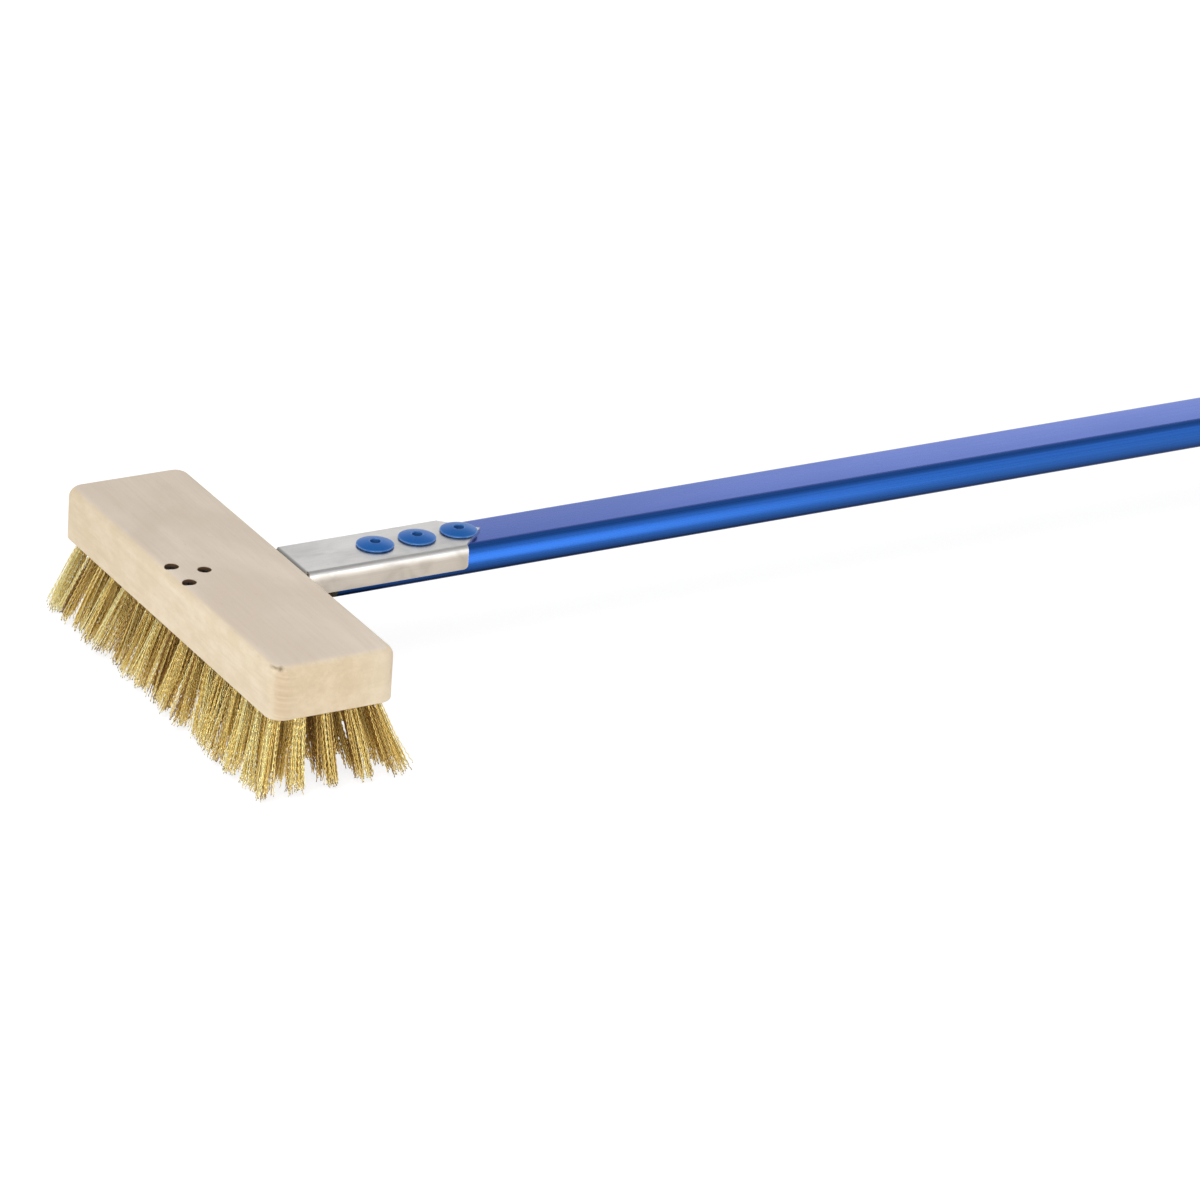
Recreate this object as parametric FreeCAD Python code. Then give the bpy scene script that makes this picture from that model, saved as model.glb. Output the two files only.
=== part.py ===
"""Long-handled brass wire brush with a wooden block.

The block carries five rows of brass wire tufts. A folded steel bracket holds it: the bracket's
tongue sits in a slot in the block under three sunk screws, and its channel is riveted over the
end of a flat-oval aluminium handle. A plug closes the handle inside the bracket, and a cap with
a hanging eye closes the hand end.

Millimetres. +Z is up, +X runs along the handle towards the hand, +Y along the block. The origin
is the centre of the plane of the bristle tips, under the middle of the block.
"""
import math
import os

import FreeCAD
import Part

# Driving dimensions of the block and the bristles
block_width = 60.0
block_length = 210.0
block_height = 25.0
block_corner_radius = 7.5
block_top_radius = 5.0
block_bottom_radius = 0.8
bristle_height = 37.5
tuft_rows = 5
tuft_columns = 17
row_pitch = 11.5
column_pitch = 11.75
row_fan = 0.31 / 23.0
column_fan = 0.31 / 100.0
tuft_hole_radius = 3.0
tuft_hole_depth = 8.0
tuft_root_radius = 2.95
tuft_tip_radius = 5.0
tuft_neck = 1.5
anchor_width = 5.8
anchor_height = 2.0
anchor_thickness = 0.5

# Driving dimensions of the handle
tube_width = 30.0
tube_height = 15.0
tube_wall = 1.5
tube_corner_radius = 4.5
tube_side_radius = 13.3
tube_start = 48.0
tube_length = 1375.0
tube_drop = 4.6
plug_flange = 1.5
plug_depth = 12.0
plug_wall = 2.0
plug_clearance = 0.1
cap_length = 37.0
cap_insert = 25.0
cap_neck = 12.0
cap_eye_thickness = 10.0
cap_eye_radius = 12.0
cap_edge_radius = 1.2
eye_hole_radius = 4.5

# Driving dimensions of the bracket
sheet = 1.25
bend_radius = 0.85
swell_radius = 12.0
swell_angle = 15.0
channel_depth = 11.0
bracket_gap = 0.6
flange_end = 112.6
nose_length = 14.3
flange_corner_radius = 2.0
tongue_width = 27.4
tongue_end = -28.0
slot_clearance = 0.1

# Driving dimensions of the blind rivets
rivet_places = [73.5, 94.7, 115.9]
rivet_hole_radius = 3.3
rivet_shank_radius = 3.2
rivet_flange_radius = 8.6
rivet_rim_height = 0.95
rivet_dome_height = 2.3
rivet_bore_radius = 2.35
rivet_lip_radius = 0.4
rivet_edge_radius = 0.25
rivet_undercut_radius = 6.6
rivet_undercut_height = 0.45
rivet_bulb_radius = 4.7
rivet_bulb_height = 4.0
mandrel_radius = 2.25
mandrel_head_radius = 3.0
mandrel_head_height = 2.2
mandrel_break_depth = 1.9

# Driving dimensions of the sunk screws
screw_places = [(-24.1, -11.4), (-24.1, 6.3), (-12.2, -1.9)]
counterbore_radius = 3.2
counterbore_depth = 3.5
screw_head_radius = 3.0
screw_head_height = 2.2
screw_radius = 1.5
screw_hole_radius = 1.6
screw_length = 11.8
screw_point = 2.0
recess_width = 0.9
recess_span = 3.2
recess_depth = 1.1

# Levels worked out from the driving dimensions
block_bottom = bristle_height
block_top = block_bottom + block_height
block_middle = block_bottom + block_height / 2.0
tube_middle = block_top - tube_drop - tube_height / 2.0
tube_top = tube_middle + tube_height / 2.0
tube_end = tube_start + tube_length
bracket_top = tube_top + sheet
bracket_half = tube_width / 2.0 + sheet
outer_bend = bend_radius + sheet
bracket_front = block_width / 2.0 + bracket_gap
flange_front = bracket_front + outer_bend
nose_tip = flange_end + nose_length


def vector(x, y, z):
    """A point or a direction."""
    return FreeCAD.Vector(x, y, z)


def box(low, high):
    """A box between two corners."""
    size = [h - l for l, h in zip(low, high)]
    return Part.makeBox(size[0], size[1], size[2], vector(low[0], low[1], low[2]))


def prism(points, along):
    """The solid swept by a closed outline of straight edges."""
    corners = [vector(x, y, z) for x, y, z in points]
    wire = Part.makePolygon(corners + corners[:1])
    return Part.Face(wire).extrude(along)


def edges_along(shape, direction):
    """The straight edges that run along a direction."""
    found = []
    for edge in shape.Edges:
        if isinstance(edge.Curve, Part.Line) and abs(edge.Curve.Direction.dot(direction)) > 0.999:
            found.append(edge)
    return found


def edges_at_height(shape, z):
    """The edges that lie wholly at one height."""
    found = []
    for edge in shape.Edges:
        limits = edge.BoundBox
        if abs(limits.ZMin - z) < 0.001 and abs(limits.ZMax - z) < 0.001:
            found.append(edge)
    return found


def arc(start, middle, end):
    """A round edge through three points."""
    return Part.Arc(start, middle, end).toShape()


def flat_oval(inset, start, length):
    """A bar along X with the handle's section, its outline set in by a distance.

    The top and the bottom are flat. Tight corners lead from them to gently bulging sides.
    """
    half_width = tube_width / 2.0
    half_height = tube_height / 2.0
    corner_radius = tube_corner_radius - inset
    side_radius = tube_side_radius - inset
    corner_z = half_height - tube_corner_radius
    turn = math.acos(corner_z / (tube_side_radius - tube_corner_radius))
    side_y = half_width - tube_side_radius
    corner_y = side_y + (tube_side_radius - tube_corner_radius) * math.sin(turn)

    def corner(y_side, z_side, angle):
        y = corner_y + corner_radius * math.sin(angle)
        z = corner_z + corner_radius * math.cos(angle)
        return vector(start, y_side * y, tube_middle + z_side * z)

    edges = []
    for side in (-1.0, 1.0):
        bulge = vector(start, side * (side_y + side_radius), tube_middle)
        edges.append(arc(corner(side, 1.0, turn), bulge, corner(side, -1.0, turn)))
        level = [corner(y_side, side, 0.0) for y_side in (-1.0, 1.0)]
        edges.append(Part.LineSegment(level[0], level[1]).toShape())
        for z_side in (-1.0, 1.0):
            points = [corner(side, z_side, turn * share) for share in (0.0, 0.5, 1.0)]
            edges.append(arc(points[0], points[1], points[2]))
    outline = Part.Wire(Part.sortEdges(edges)[0])
    return Part.Face(outline).extrude(vector(length, 0, 0))


def save(name, shape):
    """Writes one piece, or one group of identical pieces, and reports its volume."""
    if not shape.isValid():
        raise ValueError(name + " is not a valid solid")
    shape.exportStep("parts/" + name + ".step")
    print(name, len(shape.Solids), round(shape.Volume, 1))


def tuft_axis(row, column):
    """Where a tuft leaves the block, and the direction its wires take from there."""
    x = (row - (tuft_rows - 1) / 2.0) * row_pitch
    y = (column - (tuft_columns - 1) / 2.0) * column_pitch
    direction = vector(x * row_fan, y * column_fan, -1.0)
    direction.normalize()
    return vector(x, y, block_bottom), direction


def anchor_plate(row, column):
    """The flat strip that the wires of one tuft are folded over, at the bottom of its hole."""
    mouth, direction = tuft_axis(row, column)
    low = (-anchor_thickness / 2.0, -anchor_width / 2.0, -anchor_height)
    high = (anchor_thickness / 2.0, anchor_width / 2.0, 0.0)
    plate = box(low, high)
    turn = FreeCAD.Rotation(vector(0, 0, -1), direction)
    bottom = mouth - direction * tuft_hole_depth
    plate.Placement = FreeCAD.Placement(bottom, turn)
    return plate


def tuft(row, column):
    """One bundle of wires: a round root in its hole, spreading to the trimmed tips."""
    mouth, direction = tuft_axis(row, column)
    root = mouth - direction * tuft_hole_depth
    neck = mouth + direction * tuft_neck
    beyond = bristle_height * 1.3
    slope = (tuft_tip_radius - tuft_root_radius) / (bristle_height - tuft_neck)
    wide = tuft_root_radius + slope * beyond
    shank = Part.makeCylinder(tuft_root_radius, tuft_hole_depth + tuft_neck, root, direction)
    spread = Part.makeCone(tuft_root_radius, wide, beyond, neck, direction)
    reach = block_length
    above_tips = box((-reach, -reach, 0.0), (reach, reach, block_top))
    bundle = shank.fuse(spread).common(above_tips)
    return bundle.cut(anchor_plate(row, column))


def brush_block():
    """The wooden block with its tuft holes, the slot for the tongue and the screw holes."""
    half_width = block_width / 2.0
    half_length = block_length / 2.0
    low = (-half_width, -half_length, block_bottom)
    block = box(low, (half_width, half_length, block_top))
    block = block.makeFillet(block_corner_radius, edges_along(block, vector(0, 0, 1)))
    block = block.makeFillet(block_top_radius, edges_at_height(block, block_top))
    block = block.makeFillet(block_bottom_radius, edges_at_height(block, block_bottom))
    cuts = []
    for row in range(tuft_rows):
        for column in range(tuft_columns):
            mouth, direction = tuft_axis(row, column)
            start = mouth - direction * tuft_hole_depth
            length = tuft_hole_depth + 2.0 * tuft_hole_radius
            cuts.append(Part.makeCylinder(tuft_hole_radius, length, start, direction))
    slot_half_width = tongue_width / 2.0 + slot_clearance
    slot_half_height = sheet / 2.0 + slot_clearance
    slot_low = (tongue_end - slot_clearance, -slot_half_width, block_middle - slot_half_height)
    slot_high = (half_width + 1.0, slot_half_width, block_middle + slot_half_height)
    cuts.append(box(slot_low, slot_high))
    for x, y in screw_places:
        seat = block_top - counterbore_depth
        cuts.append(Part.makeCylinder(counterbore_radius, counterbore_depth + 1.0, vector(x, y, seat)))
        pilot = screw_length + slot_clearance
        cuts.append(Part.makeCylinder(screw_hole_radius, pilot, vector(x, y, seat - pilot)))
    return block.cut(Part.makeCompound(cuts))


def screw(x, y):
    """A pan-head screw with a cross recess, seated in the block and threaded through the tongue."""
    seat = block_top - counterbore_depth
    head = Part.makeCylinder(screw_head_radius, screw_head_height, vector(x, y, seat))
    head = head.makeFillet(screw_head_height * 0.45, edges_at_height(head, seat + screw_head_height))
    plain = screw_length - screw_point
    shank = Part.makeCylinder(screw_radius, plain, vector(x, y, seat - plain))
    point = Part.makeCone(0.3, screw_radius, screw_point, vector(x, y, seat - screw_length))
    half_span = recess_span / 2.0
    half_width = recess_width / 2.0
    floor = seat + screw_head_height - recess_depth
    roof = seat + screw_head_height + 1.0
    across = box((x - half_span, y - half_width, floor), (x + half_span, y + half_width, roof))
    along = box((x - half_width, y - half_span, floor), (x + half_width, y + half_span, roof))
    return head.fuse(shank).fuse(point).cut(across).cut(along).removeSplitter()


def bend(start, half, z):
    """A quarter tube across the bracket: the outside of a bend whose centre line is at start, z."""
    base = vector(start, -half, z)
    across = vector(0, 1, 0)
    outside = Part.makeCylinder(outer_bend, 2.0 * half, base, across)
    return outside.cut(Part.makeCylinder(bend_radius, 2.0 * half, base, across))


def bracket_strip():
    """The front of the top plate, the step down behind the block and the tongue, as one bent strip."""
    half = tongue_width / 2.0
    web_rear = bracket_front + sheet
    web_high = bracket_top - outer_bend
    tongue_low = block_middle - sheet / 2.0
    web_low = tongue_low + outer_bend
    tongue_root = web_rear - outer_bend
    plate = box((flange_front, -half, tube_top), (flange_front + 1.0, half, bracket_top))
    web = box((bracket_front, -half, web_low), (web_rear, half, web_high))
    tongue = box((tongue_end, -half, tongue_low), (tongue_root, half, tongue_low + sheet))
    upper_corner = box((bracket_front, -half, web_high), (flange_front, half, bracket_top))
    lower_corner = box((tongue_root, -half, tongue_low), (web_rear, half, web_low))
    upper = bend(flange_front, half, web_high).common(upper_corner)
    lower = bend(tongue_root, half, web_low).common(lower_corner)
    return plate.fuse([web, tongue, upper, lower])


def channel_side(inset):
    """Points from the top's middle down one side of the channel, set in from its outside face.

    The tight bend at the top runs into a slow swell, which ends in an upright flange. Each row
    holds a start, a point on the way and an end.
    """
    turn = math.radians(90.0 - swell_angle)
    swell_y = bracket_half - swell_radius
    bend_y = swell_y + (swell_radius - outer_bend) * math.sin(turn)
    bend_z = bracket_top - outer_bend
    swell_z = bend_z - (swell_radius - outer_bend) * math.cos(turn)

    def around(y, z, radius, angle):
        return (y + (radius - inset) * math.sin(angle), z + (radius - inset) * math.cos(angle))

    tight = [around(bend_y, bend_z, outer_bend, turn * part) for part in (0.0, 0.5, 1.0)]
    right_angle = math.pi / 2.0
    slow_turns = (turn, (turn + right_angle) / 2.0, right_angle)
    slow = [around(swell_y, swell_z, swell_radius, angle) for angle in slow_turns]
    return tight, slow


def channel_section(x):
    """The channel's cross-section, as a face across the handle."""
    low = bracket_top - channel_depth
    edges = []
    for inset in (0.0, sheet):
        tight, slow = channel_side(inset)
        for side in (-1.0, 1.0):
            for bend_points in (tight, slow):
                corners = [vector(x, side * y, z) for y, z in bend_points]
                edges.append(arc(corners[0], corners[1], corners[2]))
            foot = vector(x, side * slow[2][0], low)
            edges.append(Part.LineSegment(corners[2], foot).toShape())
        top = [vector(x, side * tight[0][0], tight[0][1]) for side in (-1.0, 1.0)]
        edges.append(Part.LineSegment(top[0], top[1]).toShape())
    for side in (-1.0, 1.0):
        outside = vector(x, side * bracket_half, low)
        inside = vector(x, side * (bracket_half - sheet), low)
        edges.append(Part.LineSegment(outside, inside).toShape())
    return Part.Face(Part.Wire(Part.sortEdges(edges)[0]))


def bracket_channel():
    """The part over the handle: a top plate with a pointed end and two folded side flanges."""
    low = bracket_top - channel_depth
    channel = channel_section(flange_front).extrude(vector(flange_end - flange_front, 0, 0))
    corners = []
    for edge in edges_along(channel, vector(0, 1, 0)):
        limits = edge.BoundBox
        if limits.ZMax < low + 0.1 and limits.XMin > flange_end - 0.1:
            corners.append(edge)
    channel = channel.makeFillet(flange_corner_radius, corners)
    half = channel_side(0.0)[0][0][0]
    start = flange_end - sheet
    outline = [(start, -half, tube_top), (flange_end, -half, tube_top), (nose_tip, 0.0, tube_top)]
    outline += [(flange_end, half, tube_top), (start, half, tube_top)]
    return channel.fuse(prism(outline, vector(0, 0, sheet)))


def bracket():
    """The folded stainless steel bracket, with its rivet and screw holes."""
    shape = bracket_strip().fuse(bracket_channel())
    for x in rivet_places:
        hole_start = vector(x, 0.0, tube_top - sheet)
        shape = shape.cut(Part.makeCylinder(rivet_hole_radius, 3.0 * sheet, hole_start))
    for x, y in screw_places:
        hole_start = vector(x, y, block_middle - sheet)
        shape = shape.cut(Part.makeCylinder(screw_hole_radius, 2.0 * sheet, hole_start))
    return shape.removeSplitter()


def handle_tube():
    """The flat-oval aluminium tube, with three rivet holes in its top wall."""
    tube = flat_oval(0.0, tube_start, tube_length)
    tube = tube.cut(flat_oval(tube_wall, tube_start - 1.0, tube_length + 2.0))
    for x in rivet_places:
        hole_start = vector(x, 0.0, tube_top - 2.0 * tube_wall)
        tube = tube.cut(Part.makeCylinder(rivet_hole_radius, 3.0 * tube_wall, hole_start))
    return tube


def insert(start, length):
    """A bar that slides into the handle's bore."""
    return flat_oval(tube_wall + plug_clearance, start, length)


def head_plug():
    """The hollow plug that closes the handle inside the bracket."""
    flange = flat_oval(0.0, tube_start - plug_flange, plug_flange)
    plug = flange.fuse(insert(tube_start, plug_depth))
    hollow = flat_oval(tube_wall + plug_clearance + plug_wall, tube_start, plug_depth + 1.0)
    return plug.cut(hollow).removeSplitter()


def end_cap():
    """The cap at the hand end, which narrows to a flat round-ended tab with a hanging eye."""
    eye_x = tube_end + cap_length - cap_eye_radius
    half = tube_width / 2.0
    depth = tube_height
    low = tube_middle - depth / 2.0
    neck_x = tube_end + cap_neck * 0.25
    outline = [(tube_end, -half, low), (neck_x, -half, low), (eye_x, -cap_eye_radius, low)]
    outline += [(eye_x, cap_eye_radius, low), (neck_x, half, low), (tube_end, half, low)]
    plan = prism(outline, vector(0, 0, depth))
    plan = plan.fuse(Part.makeCylinder(cap_eye_radius, depth, vector(eye_x, 0.0, low)))
    plan = plan.removeSplitter()
    thin = cap_eye_thickness / 2.0
    tab_x = tube_end + cap_neck
    far = tube_end + cap_length + 1.0
    side = [(tube_end, -half, low), (neck_x, -half, low), (tab_x, -half, tube_middle - thin)]
    side += [(far, -half, tube_middle - thin), (far, -half, tube_middle + thin)]
    side += [(tab_x, -half, tube_middle + thin), (neck_x, -half, low + depth)]
    side += [(tube_end, -half, low + depth)]
    tab = plan.common(prism(side, vector(0, tube_width, 0)))
    tab = tab.common(flat_oval(0.0, tube_end, cap_length + 1.0)).removeSplitter()
    rims = edges_at_height(tab, tube_middle - thin) + edges_at_height(tab, tube_middle + thin)
    rims = [e for e in rims if e.BoundBox.XMin > tab_x - 0.01 and e.BoundBox.XMax > tab_x + 1.0]
    tab = tab.makeFillet(cap_edge_radius, rims)
    hole = Part.makeCylinder(eye_hole_radius, depth, vector(eye_x, 0.0, low))
    return tab.cut(hole).fuse(insert(tube_end - cap_insert, cap_insert)).removeSplitter()


def turned(points, x):
    """A solid of revolution about a rivet's upright axis, from radii and heights."""
    corners = [vector(x + radius, 0.0, height) for radius, height in points]
    wire = Part.makePolygon(corners + corners[:1])
    return Part.Face(wire).revolve(vector(x, 0.0, 0.0), vector(0, 0, 1), 360.0)


def rivet_body(x):
    """The blind rivet's aluminium body: a wide domed flange, a shank and the bulb below the wall."""
    rim_top = bracket_top + rivet_rim_height
    dome_top = bracket_top + rivet_dome_height
    wall_below = tube_top - tube_wall
    bulb_low = wall_below - rivet_bulb_height
    lip = rivet_lip_radius
    edge = rivet_edge_radius
    slack = 1.0 - 0.5 ** 0.5
    lip_end = rivet_bore_radius + lip
    dome_end = rivet_flange_radius - edge
    shoulder_radius = (lip_end + dome_end) / 2.0
    shoulder_height = rim_top + (dome_top - rim_top) * 0.64
    lip_start = vector(x + rivet_bore_radius, 0.0, dome_top - lip)
    lip_middle = vector(x + rivet_bore_radius + lip * slack, 0.0, dome_top - lip * slack)
    crown = vector(x + lip_end, 0.0, dome_top)
    shoulder = vector(x + shoulder_radius, 0.0, shoulder_height)
    brim = vector(x + dome_end, 0.0, rim_top)
    edge_middle = vector(x + rivet_flange_radius - edge * slack, 0.0, rim_top - edge * slack)
    rim = vector(x + rivet_flange_radius, 0.0, rim_top - edge)
    below = [(rivet_flange_radius, bracket_top + rivet_undercut_height)]
    below += [(rivet_undercut_radius, bracket_top), (rivet_shank_radius, bracket_top)]
    below += [(rivet_shank_radius, wall_below), (rivet_bulb_radius, wall_below)]
    below += [(rivet_bulb_radius, wall_below - 1.0), (rivet_shank_radius, bulb_low)]
    below += [(rivet_bore_radius, bulb_low), (rivet_bore_radius, dome_top - lip)]
    corners = [rim] + [vector(x + radius, 0.0, height) for radius, height in below]
    edges = [arc(lip_start, lip_middle, crown)]
    edges.append(arc(crown, shoulder, brim))
    edges.append(arc(brim, edge_middle, rim))
    for start, end in zip(corners, corners[1:]):
        edges.append(Part.LineSegment(start, end).toShape())
    profile = Part.Face(Part.Wire(edges))
    return profile.revolve(vector(x, 0.0, 0.0), vector(0, 0, 1), 360.0)


def rivet_mandrel(x):
    """The steel pin left inside the rivet, with its head under the bulb and its broken end above."""
    bulb_low = tube_top - tube_wall - rivet_bulb_height
    broken = bracket_top + rivet_dome_height - mandrel_break_depth
    head_low = bulb_low - mandrel_head_height
    points = [(0.0, head_low), (mandrel_head_radius * 0.7, head_low)]
    points += [(mandrel_head_radius, head_low + mandrel_head_height * 0.4)]
    points += [(mandrel_head_radius, bulb_low), (mandrel_radius, bulb_low)]
    points += [(mandrel_radius, broken - 0.4), (mandrel_radius * 0.7, broken), (0.0, broken)]
    return turned(points, x)


def main():
    """Builds every piece and writes it to its own file."""
    os.makedirs("parts", exist_ok=True)
    save("brush_block", brush_block())
    for column in range(tuft_columns):
        tufts = [tuft(row, column) for row in range(tuft_rows)]
        save("tuft_column_%02d" % (column + 1), Part.makeCompound(tufts))
    for row in range(tuft_rows):
        plates = [anchor_plate(row, column) for column in range(tuft_columns)]
        save("tuft_anchors_row_%d" % (row + 1), Part.makeCompound(plates))
    save("head_bracket", bracket())
    for number, (x, y) in enumerate(screw_places, 1):
        save("block_screw_%d" % number, screw(x, y))
    save("handle_tube", handle_tube())
    save("handle_head_plug", head_plug())
    save("handle_end_cap", end_cap())
    for number, x in enumerate(rivet_places, 1):
        save("rivet_%d_body" % number, rivet_body(x))
        save("rivet_%d_mandrel" % number, rivet_mandrel(x))


main()
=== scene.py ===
import math

import bpy
import numpy as np
from mathutils import Matrix, Vector


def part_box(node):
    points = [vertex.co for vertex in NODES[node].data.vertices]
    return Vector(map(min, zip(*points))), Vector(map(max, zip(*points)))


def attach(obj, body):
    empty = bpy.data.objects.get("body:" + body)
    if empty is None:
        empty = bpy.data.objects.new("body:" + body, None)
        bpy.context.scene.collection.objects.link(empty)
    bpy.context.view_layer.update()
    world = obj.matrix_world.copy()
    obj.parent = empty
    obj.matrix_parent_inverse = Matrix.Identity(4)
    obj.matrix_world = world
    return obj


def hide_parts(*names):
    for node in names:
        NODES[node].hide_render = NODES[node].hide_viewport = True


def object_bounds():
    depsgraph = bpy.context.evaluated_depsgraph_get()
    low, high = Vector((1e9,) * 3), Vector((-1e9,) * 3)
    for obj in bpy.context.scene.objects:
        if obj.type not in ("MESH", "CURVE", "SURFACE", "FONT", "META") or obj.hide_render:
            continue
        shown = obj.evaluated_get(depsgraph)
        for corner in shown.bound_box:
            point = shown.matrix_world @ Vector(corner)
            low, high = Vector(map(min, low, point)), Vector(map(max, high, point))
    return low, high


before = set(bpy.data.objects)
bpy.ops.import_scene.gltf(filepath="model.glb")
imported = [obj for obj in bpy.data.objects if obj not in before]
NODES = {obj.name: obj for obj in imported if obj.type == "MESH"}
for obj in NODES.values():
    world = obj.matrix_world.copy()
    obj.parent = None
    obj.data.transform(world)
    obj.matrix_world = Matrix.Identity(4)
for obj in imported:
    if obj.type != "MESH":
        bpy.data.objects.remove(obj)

MM = 0.001
BODY = "root"
cad_low, cad_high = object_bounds()

# The drilling pattern of the block, the same as in the CAD part
TUFT_ROWS = 5
TUFT_COLUMNS = 17
ANCHOR_ROWS = range(1, TUFT_ROWS + 1)
ROW_PITCH = 11.5 * MM
COLUMN_PITCH = 11.75 * MM
ROW_FAN = 0.31 / (23.0 * MM)
COLUMN_FAN = 0.31 / (100.0 * MM)

# The wires of one tuft: strands of a few wires each, which part towards the tips
STRANDS = 14
WIRES_PER_STRAND = 5
WIRE_RADIUS = 0.2 * MM
WIRE_SIDES = 4
WIRE_SAMPLES = 46
ROOT_DEPTH = 4.5 * MM
STRAND_ROOT_RADIUS = 2.35 * MM
STRAND_RADIUS = 0.5 * MM
EARLY_SPREAD = 0.42
EARLY_LENGTH = 5.0 * MM
LATE_SPREAD = 0.54
CRIMP_HEIGHT = 0.25 * MM
CRIMP_LENGTH = 2.9 * MM
TUFT_RAGGED = 0.7 * MM
STRAND_RAGGED = 2.4 * MM
OUTER_RAGGED = 3.6 * MM
WIRE_RAGGED = 1.2 * MM
LONGEST_RAGGED = 14.0 * MM
TUFT_LEAN = 1.5 * MM
STRAND_FRAY = 0.9 * MM
WIRE_FRAY = 1.0 * MM
STRAY_SHARE = 0.07
STRAY_FRAY = 2.0 * MM
STRAY_LIMIT = 3.4 * MM
STRAND_BOW = 0.45 * MM
WIRE_BOW = 0.2 * MM
LOWEST_TIP = 0.2 * MM
SEED = 20

# The tone of the wires: how much of it a strand shares, its contrast, and the painted shade that
# darkens it inwards, with painted light on the outer wires
STRAND_TONE_SHARE = 0.45
TONE_CONTRAST = 1.45
TUFT_TONE = 0.12
PAINTED_SHADE_DEPTH = 7.0 * MM
PAINTED_SHADE_DARKENING = 0.80
PAINTED_OUTER_LIGHT = 0.12
ROW_SHADE = 0.62

# The handle's section, the same as in the CAD part, and its broken rims
TUBE_CORNER_RADIUS = 4.5 * MM
TUBE_SIDE_RADIUS = 13.3 * MM
TUBE_WALL = 1.5 * MM
TUBE_RIM = 0.25 * MM
TUBE_STATIONS = 13
ARC_POINTS = 11

# What the finishes of the block and the rivets follow on the CAD parts
BLOCK_CORNER_RADIUS = 7.5 * MM
SUNK_HOLE_EDGE = 3.3 * MM
RIVET_BORE_EDGE = 2.6 * MM
FASTENERS = (1, 2, 3)

FLOOR_HALF = 14.0
FLOOR_GAP = 0.2 * MM


# ---------------------------------------------------------------- node helpers

class Shader:
    """A material and short calls that add and join its nodes."""

    def __init__(self, name, colour, metallic=0.0, roughness=0.5):
        self.material = bpy.data.materials.new(name)
        self.material.use_nodes = True
        self.tree = self.material.node_tree
        self.surface = self.tree.nodes["Principled BSDF"]
        self.set("Base Color", (*colour, 1.0))
        self.set("Metallic", metallic)
        self.set("Roughness", roughness)
        self.material.diffuse_color = (*colour, 1.0)
        self.place = self.add("ShaderNodeTexCoord").outputs["Object"]

    def set(self, socket, value):
        self.surface.inputs[socket].default_value = value

    def add(self, kind, **settings):
        node = self.tree.nodes.new(kind)
        for key, value in settings.items():
            setattr(node, key, value)
        return node

    def link(self, source, target):
        self.tree.links.new(source, target)

    def feed(self, socket, value):
        """Puts a number, a colour or another node's output into a socket."""
        if isinstance(value, bpy.types.NodeSocket):
            self.link(value, socket)
        else:
            socket.default_value = value

    def scaled(self, x, y, z):
        """Coordinates in repeats per metre along each axis."""
        node = self.add("ShaderNodeMapping")
        node.inputs["Scale"].default_value = (x, y, z)
        self.link(self.place, node.inputs["Vector"])
        return node.outputs["Vector"]

    def noise(self, place, detail=3.0, rough=0.55, distortion=0.0):
        node = self.add("ShaderNodeTexNoise")
        self.link(place, node.inputs["Vector"])
        node.inputs["Scale"].default_value = 1.0
        node.inputs["Detail"].default_value = detail
        node.inputs["Roughness"].default_value = rough
        node.inputs["Distortion"].default_value = distortion
        return node.outputs["Fac"]

    def math(self, operation, first, second=0.0):
        node = self.add("ShaderNodeMath", operation=operation)
        for socket, value in zip(node.inputs, (first, second)):
            self.feed(socket, value)
        return node.outputs["Value"]

    def span(self, value, low, high, to_low=0.0, to_high=1.0):
        """Maps a range of a value smoothly on to another range."""
        node = self.add("ShaderNodeMapRange", interpolation_type="SMOOTHSTEP")
        for key, number in zip(("Value", "From Min", "From Max", "To Min", "To Max"),
                               (value, low, high, to_low, to_high)):
            self.feed(node.inputs[key], number)
        return node.outputs["Result"]

    def blend(self, amount, first, second, mode="MIX"):
        """Mixes two colours, each given as three numbers or as an output."""
        node = self.add("ShaderNodeMix", data_type="RGBA", blend_type=mode)
        self.feed(node.inputs["Factor"], amount)
        for socket, value in ((node.inputs["A"], first), (node.inputs["B"], second)):
            self.feed(socket, (*value, 1.0) if isinstance(value, tuple) else value)
        return node.outputs["Result"]

    def axes(self, source=None):
        node = self.add("ShaderNodeSeparateXYZ")
        self.link(source or self.place, node.inputs["Vector"])
        return node.outputs["X"], node.outputs["Y"], node.outputs["Z"]

    def facing(self):
        """The three parts of the surface's direction."""
        return self.axes(self.add("ShaderNodeNewGeometry").outputs["Normal"])

    def near(self, point, reach):
        """One at a point, falling to nothing at a distance from it."""
        node = self.add("ShaderNodeVectorMath", operation="DISTANCE")
        self.link(self.place, node.inputs[0])
        node.inputs[1].default_value = point
        return self.span(node.outputs["Value"], 0.0, reach, 1.0, 0.0)

    def from_axis(self, x, y):
        """The distance from an upright line."""
        flat = self.add("ShaderNodeVectorMath", operation="MULTIPLY")
        self.link(self.place, flat.inputs[0])
        flat.inputs[1].default_value = (1.0, 1.0, 0.0)
        gap = self.add("ShaderNodeVectorMath", operation="DISTANCE")
        self.link(flat.outputs["Vector"], gap.inputs[0])
        gap.inputs[1].default_value = (x, y, 0.0)
        return gap.outputs["Value"]

    def colour(self, value):
        self.link(value, self.surface.inputs["Base Color"])

    def roughness(self, value):
        self.link(value, self.surface.inputs["Roughness"])

    def bump(self, height, distance, strength):
        node = self.add("ShaderNodeBump")
        node.inputs["Strength"].default_value = strength
        node.inputs["Distance"].default_value = distance
        self.link(height, node.inputs["Height"])
        self.link(node.outputs["Normal"], self.surface.inputs["Normal"])


# ------------------------------------------------------------------- materials

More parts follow.
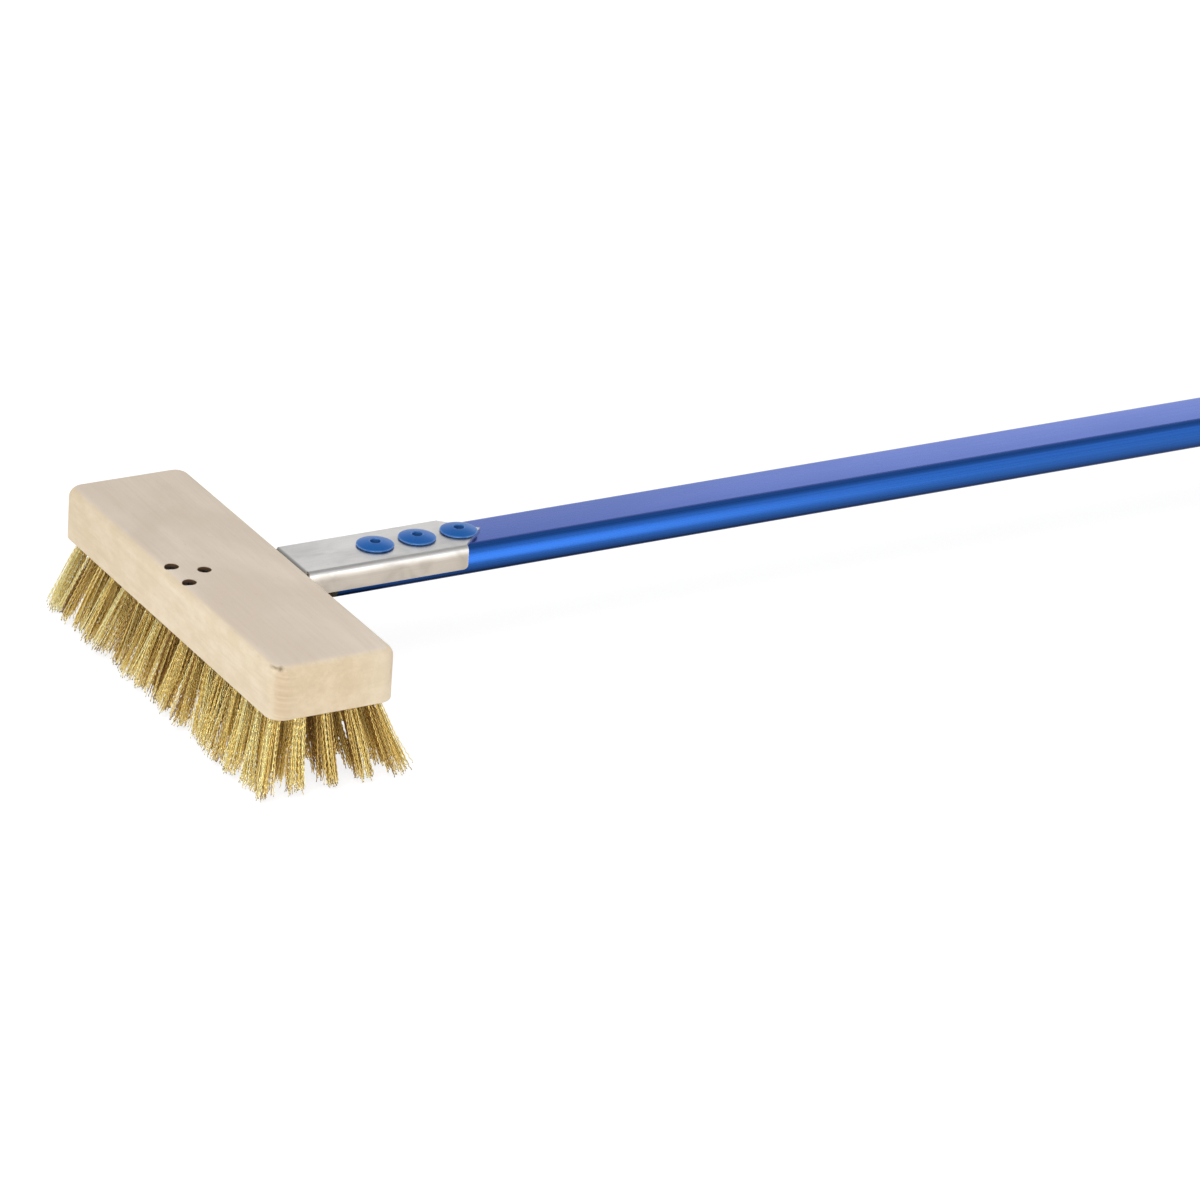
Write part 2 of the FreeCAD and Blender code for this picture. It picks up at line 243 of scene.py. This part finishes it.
def wood_rings(s, x, z):
    """Growth rings that curve gently over the block's section."""
    drift = s.noise(s.scaled(14, 4, 10), detail=2.0)
    place = s.math("ADD", z, s.math("MULTIPLY", s.math("MULTIPLY", x, x), -3.0))
    place = s.math("ADD", place, s.math("MULTIPLY", drift, 0.006))
    ring = s.add("ShaderNodeTexNoise", noise_dimensions="1D")
    ring.inputs["Scale"].default_value = 520.0
    ring.inputs["Detail"].default_value = 4.0
    s.link(place, ring.inputs["W"])
    return s.span(ring.outputs["Fac"], 0.36, 0.68)


def wood_marks(s, base, fibres, mottle, low, high):
    """A singed dash round the near corner's top edge, and rubbed spots on the end's corners."""
    turned = s.from_axis(low.x + BLOCK_CORNER_RADIUS, low.y + BLOCK_CORNER_RADIUS)
    from_ring = s.math("ABSOLUTE", s.math("SUBTRACT", turned, 5.7 * MM))
    dash = (low.x + 3.2 * MM, low.y + 4.8 * MM, high.z - 1.2 * MM)
    dash_end = (low.x + 4.4 * MM, low.y + 2.8 * MM, high.z - 1.2 * MM)
    singed = s.math("MULTIPLY", s.span(from_ring, 0.1 * MM, 0.9 * MM, 0.75, 0.0),
                    s.near(dash, 5.0 * MM))
    scorch = s.math("MAXIMUM", singed, s.near(dash_end, 2.2 * MM))
    scorch = s.math("MULTIPLY", scorch, s.span(fibres, 0.30, 0.50, 0.45, 1.0))
    base = s.blend(scorch, base, (0.22, 0.150, 0.070))
    for x, drop in ((low.x + 1.5 * MM, 13.0 * MM), (high.x - 1.5 * MM, 10.0 * MM)):
        spot = s.near((x, low.y + 3.0 * MM, high.z - drop), 12.0 * MM)
        rub = s.math("MULTIPLY", spot, s.span(mottle, 0.3, 0.7, 0.05, 0.35))
        base = s.blend(rub, base, (0.50, 0.36, 0.22))
    return base


def wood_bores_painted_shade(s, base, z, top_z):
    """The brown walls of the three sunk holes, with painted shade that takes them from dark brown to
    near black with depth.
    """
    depth = s.math("SUBTRACT", top_z, z)
    bored = s.span(depth, 0.00005, 0.0004)
    # Painted shade: the hole walls go from dark brown to near black with depth
    painted_bore_shade = s.blend(s.span(depth, 0.0006, 0.0045), (0.120, 0.068, 0.038), (0.030, 0.016, 0.010))
    for number in FASTENERS:
        low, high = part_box("block_screw_%d" % number)
        middle = (low + high) / 2
        from_middle = s.from_axis(middle.x, middle.y)
        across = s.span(from_middle, SUNK_HOLE_EDGE, SUNK_HOLE_EDGE + 0.1 * MM, 1.0, 0.0)
        base = s.blend(s.math("MULTIPLY", across, bored), base, painted_bore_shade)
    return base


def wood():
    """Bare sanded beech: faint growth rings, fibres along Y, ray flecks, stains, drilled holes with
    painted shade inside, and painted shade darkening the far half.
    """
    s = Shader("beech_bare", (0.66, 0.56, 0.42), roughness=0.6)
    x, y, z = s.axes()
    _, facing_y, facing_z = s.facing()
    upward = s.span(facing_z, 0.80, 0.97)
    ends = s.span(s.math("ABSOLUTE", facing_y), 0.45, 0.9)
    low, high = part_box("brush_block")

    rings = wood_rings(s, x, z)
    fibres = s.noise(s.scaled(900, 26, 900), detail=4.0, rough=0.6)
    streaks = s.noise(s.scaled(240, 7, 240), detail=3.0)
    flecks = s.span(s.noise(s.scaled(1500, 260, 1500), detail=1.0), 0.66, 0.74)
    cloud = s.span(s.noise(s.scaled(20, 13, 20), detail=4.0, distortion=0.6), 0.33, 0.68)
    mottle = s.span(s.noise(s.scaled(120, 60, 150), detail=5.0, rough=0.7), 0.35, 0.70)

    side = s.blend(mottle, (0.715, 0.590, 0.415), (0.785, 0.672, 0.505))
    side = s.blend(ends, side, s.blend(mottle, (0.665, 0.525, 0.345), (0.745, 0.610, 0.430)))
    far_end = s.math("MULTIPLY", ends, s.span(x, 0.0, 0.030, 0.0, 0.55))
    side = s.blend(far_end, side, (0.785, 0.685, 0.520))
    top = s.blend(cloud, (0.665, 0.560, 0.455), (0.745, 0.650, 0.550))
    base = s.blend(upward, side, top)
    # Painted shade: the block's far half, towards +Y, is darkened a little
    base = s.blend(s.span(y, 0.0, 0.09), base, (0.935, 0.925, 0.905), "MULTIPLY")
    base = s.blend(s.math("MULTIPLY", s.span(streaks, 0.35, 0.7), 0.14), base, (0.56, 0.44, 0.31))
    base = s.blend(s.math("MULTIPLY", s.span(fibres, 0.45, 0.8), 0.12), base, (0.46, 0.34, 0.21))
    base = s.blend(s.math("MULTIPLY", flecks, 0.14), base, (0.47, 0.34, 0.22))
    corner = s.span(x, -0.016, -0.028, 0.03, 0.40)
    dark_rings = s.math("MULTIPLY", s.math("MULTIPLY", ends, s.math("SUBTRACT", 1.0, rings)), corner)
    base = s.blend(dark_rings, base, (0.48, 0.33, 0.19))
    base = wood_marks(s, base, fibres, mottle, low, high)
    s.colour(wood_bores_painted_shade(s, base, z, high.z))
    s.roughness(s.span(s.math("ADD", fibres, s.math("MULTIPLY", cloud, 0.4)), 0.3, 1.1, 0.50, 0.74))
    height = s.math("ADD", s.math("MULTIPLY", fibres, 0.7), s.math("MULTIPLY", flecks, -0.5))
    s.bump(s.math("ADD", height, s.math("MULTIPLY", rings, 0.25)), 0.00006, 0.7)
    s.set("Specular IOR Level", 0.35)
    return s.material


def brass_wire():
    """Drawn brass wire: each wire its own tone, tarnished towards the block, with a painted highlight
    that brightens the tips.
    """
    s = Shader("brass_wire", (0.66, 0.48, 0.18), metallic=1.0, roughness=0.3)
    tone = s.add("ShaderNodeAttribute", attribute_name="tone").outputs["Fac"]
    reach = s.add("ShaderNodeAttribute", attribute_name="reach").outputs["Fac"]
    mottle = s.noise(s.scaled(700, 700, 260), detail=2.0)
    dull = s.blend(s.span(tone, 0.04, 0.43), (0.255, 0.127, 0.040), (0.90, 0.690, 0.240))
    base = s.blend(s.span(tone, 0.5, 0.85), dull, (1.0, 0.95, 0.53))
    tarnish = s.math("MULTIPLY", s.span(reach, 0.0, 0.6, 1.0, 0.1), s.span(mottle, 0.35, 0.7))
    base = s.blend(s.math("MULTIPLY", tarnish, 0.45), base, (0.36, 0.20, 0.08))
    # Painted highlight: the tips of the lighter wires are paled towards white
    painted_tip_highlight = s.math("MULTIPLY", s.span(reach, 0.72, 1.0, 0.0, 0.7), tone)
    base = s.blend(painted_tip_highlight, base, (1.0, 0.955, 0.68))
    s.colour(base)
    s.roughness(s.math("ADD", s.span(mottle, 0.3, 0.7, 0.17, 0.28), s.math("MULTIPLY", tone, -0.05)))
    s.set("Specular Tint", (1.0, 0.93, 0.70, 1.0))
    return s.material


def stainless():
    """Stainless sheet: fine grain along X, specks, painted shade on the rear bend and a painted darker,
    warmer reflection on the folded sides.
    """
    s = Shader("stainless_sheet", (0.62, 0.61, 0.60), metallic=1.0, roughness=0.36)
    grain = s.noise(s.scaled(90, 5200, 5200), detail=3.0, rough=0.7)
    patches = s.noise(s.scaled(70, 110, 110), detail=4.0, distortion=0.8)
    specks = s.span(s.noise(s.scaled(900, 1500, 1500), detail=1.0), 0.70, 0.76)
    base = s.blend(s.span(grain, 0.3, 0.7), (0.68, 0.67, 0.66), (0.79, 0.78, 0.77))
    base = s.blend(s.math("MULTIPLY", s.span(patches, 0.45, 0.75), 0.30), base, (0.60, 0.59, 0.57))
    base = s.blend(s.math("MULTIPLY", specks, 0.35), base, (0.42, 0.41, 0.39))
    x, y, z = s.axes()
    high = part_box("head_bracket")[1]
    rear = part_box("brush_block")[1].x
    # Painted shade: the rear bend next to the block is darkened to near black
    painted_bend_shade = s.math("MULTIPLY", s.span(x, rear + 0.0008, rear + 0.0034, 0.80, 0.0),
                    s.span(z, high.z - 0.0026, high.z - 0.0018))
    base = s.blend(painted_bend_shade, base, (0.10, 0.095, 0.090))
    # Painted light: the side flanges below the bend get a darker, warmer base, standing in for the warm
    # reflection they show and keeping the highlight on the bend
    painted_flange_shading = s.math("MULTIPLY", s.span(s.math("ABSOLUTE", y), high.y - 0.0022, high.y - 0.0010),
                    s.span(z, high.z - 0.0012, high.z - 0.0044))
    dull = s.blend(s.span(grain, 0.3, 0.7), (0.38, 0.352, 0.320), (0.43, 0.400, 0.365))
    dull = s.blend(s.math("MULTIPLY", s.span(patches, 0.45, 0.70), 0.35), dull, (0.31, 0.285, 0.25))
    base = s.blend(painted_flange_shading, base, dull)
    s.colour(base)
    s.roughness(s.span(s.math("ADD", s.math("MULTIPLY", grain, 0.5), patches), 0.4, 1.1, 0.30, 0.46))
    s.bump(grain, 0.000012, 0.5)
    s.set("Anisotropic", 0.35)
    return s.material


def blue_anodised():
    """Blue anodised extrusion: die lines along X, a painted slightly paler, more violet top and bottom
    standing in for their sheen, a thin clear skin.
    """
    s = Shader("blue_anodised", (0.022, 0.116, 0.45), metallic=1.0, roughness=0.3)
    lines = s.noise(s.scaled(2.0, 2600, 2600), detail=4.0, rough=0.65)
    haze = s.noise(s.scaled(12, 60, 60), detail=3.0)
    # Painted light: the flat top and bottom get a paler, more violet base, standing in for their sheen
    # at a glancing view
    flat = s.span(s.math("ABSOLUTE", s.facing()[2]), 0.93, 0.995)
    dark = s.blend(flat, (0.019, 0.108, 0.455), (0.062, 0.120, 0.455))
    light = s.blend(flat, (0.025, 0.132, 0.525), (0.074, 0.143, 0.520))
    base = s.blend(s.span(lines, 0.3, 0.7), dark, light)
    base = s.blend(s.math("MULTIPLY", s.span(haze, 0.4, 0.75), 0.15), base, (0.035, 0.130, 0.490))
    s.colour(base)
    s.roughness(s.span(s.math("ADD", lines, s.math("MULTIPLY", haze, 0.4)), 0.4, 1.0, 0.22, 0.34))
    s.bump(lines, 0.00001, 0.4)
    s.set("Coat Weight", 0.12)
    s.set("Coat Roughness", 0.2)
    s.set("Coat IOR", 1.45)
    return s.material


def rivet_painted_rim_highlights(s, base, wear):
    """Paler rings painted on the rim of each flange and round each bore as highlights, broken up by the
    wear noise.
    """
    for number in FASTENERS:
        low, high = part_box("rivet_%d_body" % number)
        middle = (low + high) / 2
        radius = s.from_axis(middle.x, middle.y)
        for edge, share in (((high.x - low.x) / 2 - 0.2 * MM, 0.50), (RIVET_BORE_EDGE, 0.30)):
            # Painted highlight: a paler ring along the flange rim and the bore edge
            away = s.math("ABSOLUTE", s.math("SUBTRACT", radius, edge))
            rim = s.span(away, 0.1 * MM, 0.5 * MM, share, 0.0)
            rim = s.math("MULTIPLY", rim, s.span(wear, 0.30, 0.60, 0.4, 1.0))
            base = s.blend(rim, base, (0.20, 0.36, 0.66))
    return base


def blue_rivet():
    """Blue lacquered rivet flange with a slight orange peel and rubbed high spots."""
    s = Shader("blue_rivet", (0.007, 0.118, 0.440), metallic=0.30, roughness=0.34)
    peel = s.noise(s.scaled(1400, 1400, 1400), detail=2.0)
    wear = s.noise(s.scaled(420, 420, 420), detail=4.0)
    base = s.blend(s.span(peel, 0.3, 0.7), (0.006, 0.110, 0.415), (0.008, 0.128, 0.470))
    base = s.blend(s.math("MULTIPLY", s.span(wear, 0.55, 0.75), 0.25), base, (0.03, 0.16, 0.46))
    s.colour(rivet_painted_rim_highlights(s, base, wear))
    s.roughness(s.span(peel, 0.3, 0.7, 0.28, 0.40))
    s.bump(peel, 0.00003, 0.4)
    s.set("Specular Tint", (0.70, 0.85, 1.0, 1.0))
    return s.material


def dark_steel(name, light):
    """Oiled fastener steel, mottled and a little scratched."""
    s = Shader(name, (light, light, light), metallic=1.0, roughness=0.4)
    mottle = s.noise(s.scaled(900, 900, 900), detail=4.0)
    warm_light = (light * 1.25, light * 1.2, light * 1.1)
    base = s.blend(s.span(mottle, 0.3, 0.7), (light * 0.7,) * 3, warm_light)
    s.colour(base)
    s.roughness(s.span(mottle, 0.3, 0.7, 0.30, 0.52))
    s.bump(mottle, 0.00002, 0.4)
    return s.material


def black_polymer():
    """Injection-moulded black polymer with a fine spark-eroded grain."""
    s = Shader("black_polymer", (0.018, 0.018, 0.020), roughness=0.5)
    grain = s.noise(s.scaled(2600, 2600, 2600), detail=2.0)
    scuff = s.noise(s.scaled(180, 320, 320), detail=4.0, distortion=1.0)
    base = s.blend(s.span(scuff, 0.5, 0.8), (0.015, 0.015, 0.017), (0.045, 0.045, 0.048))
    s.colour(base)
    s.roughness(s.span(s.math("ADD", grain, scuff), 0.7, 1.3, 0.42, 0.62))
    s.bump(grain, 0.00004, 0.6)
    return s.material


def pale_floor():
    """The plain pale floor that the brush lies on: a softly lit table, so that shadows stay faint."""
    s = Shader("pale_floor", (0.30, 0.30, 0.30), roughness=0.9)
    s.colour(s.blend(s.noise(s.scaled(6, 6, 6)), (0.295, 0.295, 0.295), (0.305, 0.305, 0.305)))
    s.set("Specular IOR Level", 0.1)
    s.set("Emission Color", (1.0, 1.0, 1.0, 1.0))
    s.set("Emission Strength", 0.82)
    return s.material


# ------------------------------------------------------------------ mesh pieces

def mesh_object(name, points, faces, material, smooth=True):
    """An object from arrays of corners and of equal-sided faces."""
    mesh = bpy.data.meshes.new(name)
    count, sides = faces.shape
    mesh.vertices.add(len(points))
    mesh.vertices.foreach_set("co", points.astype(np.float32).ravel())
    mesh.loops.add(count * sides)
    mesh.loops.foreach_set("vertex_index", faces.astype(np.int32).ravel())
    mesh.polygons.add(count)
    mesh.polygons.foreach_set("loop_start", np.arange(0, count * sides, sides, dtype=np.int32))
    mesh.polygons.foreach_set("use_smooth", np.full(count, smooth))
    mesh.update(calc_edges=True)
    mesh.validate()
    mesh.materials.append(material)
    made = bpy.data.objects.new(name, mesh)
    bpy.context.scene.collection.objects.link(made)
    return made


def tuft_axis(row, column, block_bottom):
    """Where a tuft leaves the block, the direction of its wires, and two directions across it."""
    x = (row - (TUFT_ROWS - 1) / 2) * ROW_PITCH
    y = (column - (TUFT_COLUMNS - 1) / 2) * COLUMN_PITCH
    along = np.array([x * ROW_FAN, y * COLUMN_FAN, -1.0])
    along /= np.linalg.norm(along)
    first = np.cross(along, (0.0, 1.0, 0.0))
    first /= np.linalg.norm(first)
    return np.array([x, y, block_bottom]), along, first, np.cross(along, first)


def disc(rng, count, radius):
    """Points spread evenly over a disc."""
    turn = rng.uniform(0.0, 2.0 * math.pi, count)
    reach = radius * np.sqrt(rng.uniform(0.0, 1.0, count))
    return np.stack([reach * np.cos(turn), reach * np.sin(turn)], axis=1)


def spiral(rng, count, radius):
    """Points that fill a disc evenly, as seeds in a flower head do."""
    golden = math.pi * (3.0 - math.sqrt(5.0))
    number = np.arange(count)
    turn = number * golden + rng.uniform(0.0, 2.0 * math.pi)
    reach = radius * np.sqrt((number + 0.5) / count)
    return np.stack([reach * np.cos(turn), reach * np.sin(turn)], axis=1)


def each_wire(values):
    """Repeats what belongs to a strand for each of its wires."""
    return np.repeat(values, WIRES_PER_STRAND, axis=0)


def tuft_wires(rng, row, column, block_bottom):
    """The centre lines of one tuft's wires, how far out each point is, and each wire's tone."""
    mouth, along, first, second = tuft_axis(row, column, block_bottom)
    count = STRANDS * WIRES_PER_STRAND
    strand_root = spiral(rng, STRANDS, STRAND_ROOT_RADIUS)
    strand_tip = rng.normal(0.0, STRAND_FRAY, (STRANDS, 2))
    strand_bow = rng.normal(0.0, STRAND_BOW, (STRANDS, 2))
    strand_cut = STRAND_RAGGED * rng.uniform(0.0, 1.0, STRANDS) ** 1.8
    strand_tone = rng.uniform(0.0, 1.0, STRANDS)
    strand_phase = rng.uniform(0.0, 2.0 * math.pi, STRANDS)
    strand_turn = rng.uniform(0.0, math.pi, STRANDS)

    root = each_wire(strand_root) + disc(rng, count, STRAND_RADIUS)
    outer = np.sum(root ** 2, axis=1) / STRAND_ROOT_RADIUS ** 2
    lean = rng.normal(0.0, TUFT_LEAN, 2)
    fray = np.clip(rng.normal(0.0, 1.0, (count, 2)), -2.0, 2.0) * WIRE_FRAY
    stray = rng.uniform(0.0, 1.0, count) < STRAY_SHARE
    fray[stray] += rng.normal(0.0, STRAY_FRAY, (int(stray.sum()), 2))
    tip = lean + each_wire(strand_tip) + np.clip(fray, -STRAY_LIMIT, STRAY_LIMIT)
    bow = each_wire(strand_bow) + rng.normal(0.0, WIRE_BOW, (count, 2))
    ragged = each_wire(strand_cut) + OUTER_RAGGED * outer
    ragged = ragged + WIRE_RAGGED * rng.exponential(1.0, count)
    ragged = np.minimum(ragged + TUFT_RAGGED * rng.uniform(), LONGEST_RAGGED)
    tone = STRAND_TONE_SHARE * each_wire(strand_tone)
    tone = tone + (1.0 - STRAND_TONE_SHARE) * rng.uniform(0.0, 1.0, count)
    phase = each_wire(strand_phase) + rng.normal(0.0, 0.7, count)
    turn = each_wire(strand_turn) + rng.normal(0.0, 0.4, count)
    tone = 0.5 + TONE_CONTRAST * (tone - 0.5) + rng.uniform(-TUFT_TONE, TUFT_TONE)
    tone = np.clip(tone, 0.0, 1.0)

    length = (block_bottom - ragged) / -along[2]
    steps = np.linspace(0.0, 1.0, WIRE_SAMPLES)[None, :]
    distance = -ROOT_DEPTH + steps * (length[:, None] + ROOT_DEPTH)
    outside = np.maximum(distance, 0.0)
    out = outside / (block_bottom / -along[2])
    spread = 1.0 + EARLY_SPREAD * (1.0 - np.exp(-outside / EARLY_LENGTH)) + LATE_SPREAD * out ** 1.5
    wave = CRIMP_HEIGHT * np.sin(2.0 * math.pi * distance / CRIMP_LENGTH + phase[:, None])
    wave *= np.clip(outside / (3.0 * MM), 0.0, 1.0)
    lines = mouth + distance[:, :, None] * along
    for axis, trend, direction in ((0, np.cos(turn), first), (1, np.sin(turn), second)):
        across = root[:, axis, None] * spread + tip[:, axis, None] * out ** 1.8
        across += bow[:, axis, None] * np.sin(math.pi * out) + wave * trend[:, None]
        lines = lines + across[:, :, None] * direction
    lines[:, :, 2] = np.maximum(lines[:, :, 2], LOWEST_TIP)
    # Painted shade: wires deeper inside the field of tufts are darkened and the outer ones lightened,
    # standing in for the shade between tufts
    field = np.array([(TUFT_ROWS - 1) / 2 * ROW_PITCH, (TUFT_COLUMNS - 1) / 2 * COLUMN_PITCH])
    inward = field + STRAND_ROOT_RADIUS - np.abs(lines[:, 0, :2])
    buried = np.min(inward * (ROW_SHADE, 1.0), axis=1)
    painted_depth_shade = 1.0 - np.exp(-np.maximum(buried, 0.0) / PAINTED_SHADE_DEPTH)
    tone = tone * (1.0 - PAINTED_SHADE_DARKENING * painted_depth_shade) + PAINTED_OUTER_LIGHT * (1.0 - painted_depth_shade)
    return lines, out, tone


def bristle_column(column, material):
    """All the wires of one column of tufts, as one piece that stands for its CAD node."""
    node = "tuft_column_%02d" % (column + 1)
    block_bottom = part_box("brush_block")[0].z
    rng = np.random.default_rng(SEED + column)
    turns = np.arange(WIRE_SIDES) * 2.0 * math.pi / WIRE_SIDES
    points, faces, tones, reaches = [], [], [], []
    start = 0
    for row in range(TUFT_ROWS):
        lines, out, tone = tuft_wires(rng, row, column, block_bottom)
        _, _, first, second = tuft_axis(row, column, block_bottom)
        count, samples = out.shape
        ring = WIRE_RADIUS * (np.cos(turns)[:, None] * first + np.sin(turns)[:, None] * second)
        points.append((lines[:, :, None, :] + ring).reshape(-1, 3))
        tones.append(np.repeat(tone, samples * WIRE_SIDES))
        reaches.append(np.repeat(out.ravel(), WIRE_SIDES))
        wire = np.arange(count)[:, None, None] * samples * WIRE_SIDES
        step = np.arange(samples - 1)[None, :, None] * WIRE_SIDES
        side = np.arange(WIRE_SIDES)[None, None, :]
        turn = (side + 1) % WIRE_SIDES
        low = start + wire + step
        high = low + WIRE_SIDES
        walls = np.stack([low + side, high + side, high + turn, low + turn], axis=-1)
        faces.append(walls.reshape(-1, 4))
        caps = start + np.arange(count)[:, None] * samples * WIRE_SIDES + np.arange(WIRE_SIDES)
        faces.append(caps)
        faces.append((caps + (samples - 1) * WIRE_SIDES)[:, ::-1])
        start += count * samples * WIRE_SIDES
    name = "bristles_%02d" % (column + 1)
    made = mesh_object(name, np.concatenate(points), np.concatenate(faces), material)
    for key, values in (("tone", np.concatenate(tones)), ("reach", np.concatenate(reaches))):
        layer = made.data.attributes.new(key, "FLOAT", "POINT")
        layer.data.foreach_set("value", values.astype(np.float32))
    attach(made, BODY)
    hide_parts(node)


def handle_section(half_width, half_height, inset):
    """The handle's outline in Y and Z: flat top and bottom, tight corners and gently bulging sides."""
    corner, side = TUBE_CORNER_RADIUS, TUBE_SIDE_RADIUS
    corner_z = half_height - corner
    turn = math.acos(corner_z / (side - corner))
    side_y = half_width - side
    corner_y = side_y + (side - corner) * math.sin(turn)
    half = []
    for angle in np.linspace(math.pi, math.pi - turn, ARC_POINTS):
        half.append((corner_y + (corner - inset) * math.sin(angle),
                     (corner - inset) * math.cos(angle) - corner_z))
    for angle in np.linspace(math.pi - turn, turn, ARC_POINTS)[1:-1]:
        half.append((side_y + (side - inset) * math.sin(angle), (side - inset) * math.cos(angle)))
    for angle in np.linspace(turn, 0.0, ARC_POINTS):
        half.append((corner_y + (corner - inset) * math.sin(angle),
                     (corner - inset) * math.cos(angle) + corner_z))
    half = np.array(half)
    return np.concatenate([half, half[::-1] * (-1.0, 1.0)])


def handle_profile(material):
    """The extruded tube with its real wall and slightly broken end rims."""
    low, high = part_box("handle_tube")
    middle = (low + high) / 2
    wall, rim = TUBE_WALL, TUBE_RIM
    stations = [(low.x + rim, wall), (low.x, wall - rim), (low.x, rim), (low.x + rim, 0.0)]
    for share in np.linspace(0.02, 0.98, TUBE_STATIONS):
        stations.append((low.x + (high.x - low.x) * share, 0.0))
    stations += [(high.x - rim, 0.0), (high.x, rim), (high.x, wall - rim), (high.x - rim, wall)]
    rings = []
    for x, inset in stations:
        ring = handle_section((high.y - low.y) / 2, (high.z - low.z) / 2, inset)
        place = [np.full(len(ring), x), ring[:, 0] + middle.y, ring[:, 1] + middle.z]
        rings.append(np.column_stack(place))
    points = np.concatenate(rings)
    around = len(rings[0])
    index = np.arange(around)
    turn = (index + 1) % around
    faces = []
    for station in range(len(rings)):
        a = station * around
        b = ((station + 1) % len(rings)) * around
        faces.append(np.column_stack([a + index, a + turn, b + turn, b + index]))
    made = mesh_object("handle_profile", points, np.concatenate(faces), material)
    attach(made, BODY)
    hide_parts("handle_tube")


def dress(names, material):
    """Gives CAD nodes their finish."""
    for name in names:
        mesh = NODES[name].data
        mesh.materials.clear()
        mesh.materials.append(material)


# ------------------------------------------------------------ floor, light, camera

def floor():
    """A wide pale floor under the bristle tips."""
    half = FLOOR_HALF
    level = cad_low.z - FLOOR_GAP
    corners = np.array([(-half, -half, level), (half, -half, level),
                        (half, half, level), (-half, half, level)])
    made = mesh_object("floor", corners, np.array([[0, 1, 2, 3]]), pale_floor(), smooth=False)
    made.visible_glossy = False


def area_light(name, place, aim, width, height, power, diffuse):
    """A soft box turned towards a point, seen by diffuse surfaces only or by reflections only."""
    data = bpy.data.lights.new(name, "AREA")
    data.shape = "RECTANGLE"
    data.size = width
    data.size_y = height
    data.energy = power
    made = bpy.data.objects.new(name, data)
    made.location = place
    made.rotation_euler = (Vector(aim) - Vector(place)).to_track_quat("-Z", "Y").to_euler()
    made.visible_diffuse = diffuse
    made.visible_glossy = not diffuse
    bpy.context.scene.collection.objects.link(made)


def surroundings():
    """What the brush reflects: pale walls, a dim ceiling and dark below, in bands by height."""
    world = bpy.data.worlds.new("studio")
    bpy.context.scene.world = world
    world.use_nodes = True
    tree = world.node_tree
    background = tree.nodes["Background"]
    place = tree.nodes.new("ShaderNodeTexCoord")
    split = tree.nodes.new("ShaderNodeSeparateXYZ")
    height = tree.nodes.new("ShaderNodeMapRange")
    height.inputs["From Min"].default_value = -1.0
    ramp = tree.nodes.new("ShaderNodeValToRGB")
    tree.links.new(place.outputs["Generated"], split.inputs["Vector"])
    tree.links.new(split.outputs["Z"], height.inputs["Value"])
    tree.links.new(height.outputs["Result"], ramp.inputs["Fac"])
    tree.links.new(ramp.outputs["Color"], background.inputs["Color"])
    plain = (1.0, 1.0, 1.0)
    warm = (1.0, 0.94, 0.86)
    bands = [(-1.0, 0.02, plain), (-0.88, 0.04, plain), (-0.76, 0.40, warm), (-0.50, 0.84, warm),
             (-0.15, 0.88, warm), (0.0, 0.78, plain), (0.45, 0.82, plain), (0.57, 0.48, plain),
             (0.78, 0.34, plain), (1.0, 0.30, plain)]
    stops = ramp.color_ramp.elements
    for level, _, _ in bands[1:-1]:
        stops.new((level + 1.0) / 2.0)
    for stop, (_, light, tint) in zip(stops, bands):
        stop.color = (*[light * share for share in tint], 1.0)
    background.inputs["Strength"].default_value = 1.2


def lights():
    """One broad soft light, and four boxes that only show as reflections."""
    area_light("soft_top", (-0.92, -0.93, 2.0), (0.0, 0.0, 0.05), 1.6, 1.6, 28.0, True)
    area_light("front_low", (0.50, -1.31, -0.22), (0.15, 0.0, 0.05), 0.95, 0.75, 3.2, False)
    area_light("key_box", (-0.9, -1.3, 1.9), (0.0, 0.0, 0.05), 0.55, 0.55, 13.0, False)
    area_light("glint_box", (-1.2, -1.3, 0.55), (0.0, 0.0, 0.05), 0.35, 0.35, 2.2, False)
    area_light("back_box", (1.80, 1.5, 0.86), (0.43, 0.0, 0.05), 1.1, 0.8, 1.1, False)


def camera():
    """The photograph's viewing angle: from the front left, above the block, slightly rolled."""
    aim = Vector((0.1492, -0.0711, 0.0503))
    distance = 2.5812
    azimuth = math.radians(31.61)
    elevation = math.radians(24.63)
    roll = math.radians(4.28)
    forward = Vector((math.sin(azimuth) * math.cos(elevation),
                      math.cos(azimuth) * math.cos(elevation), -math.sin(elevation)))
    level = Vector((math.cos(azimuth), -math.sin(azimuth), 0.0))
    upright = level.cross(forward)
    right = level * math.cos(roll) + upright * math.sin(roll)
    up = right.cross(forward)
    data = bpy.data.cameras.new("camera")
    data.lens = 174.9
    data.sensor_width = 36.0
    made = bpy.data.objects.new("camera", data)
    turn = Matrix((right, up, -forward)).transposed()
    made.matrix_world = Matrix.Translation(aim - forward * distance) @ turn.to_4x4()
    bpy.context.scene.collection.objects.link(made)
    bpy.context.scene.camera = made


# ------------------------------------------------------------------------- build

camera()
surroundings()
lights()
floor()
bpy.context.scene.view_settings.view_transform = "Standard"

brass = brass_wire()
for column_number in range(TUFT_COLUMNS):
    bristle_column(column_number, brass)
handle_profile(blue_anodised())

dress(["brush_block"], wood())
dress(["head_bracket"], stainless())
dress(["rivet_%d_body" % number for number in FASTENERS], blue_rivet())
dress(["rivet_%d_mandrel" % number for number in FASTENERS], dark_steel("mandrel_steel", 0.16))
dress(["block_screw_%d" % number for number in FASTENERS], dark_steel("screw_steel", 0.07))
dress(["tuft_anchors_row_%d" % number for number in ANCHOR_ROWS], dark_steel("anchor_steel", 0.45))
dress(["handle_head_plug", "handle_end_cap"], black_polymer())
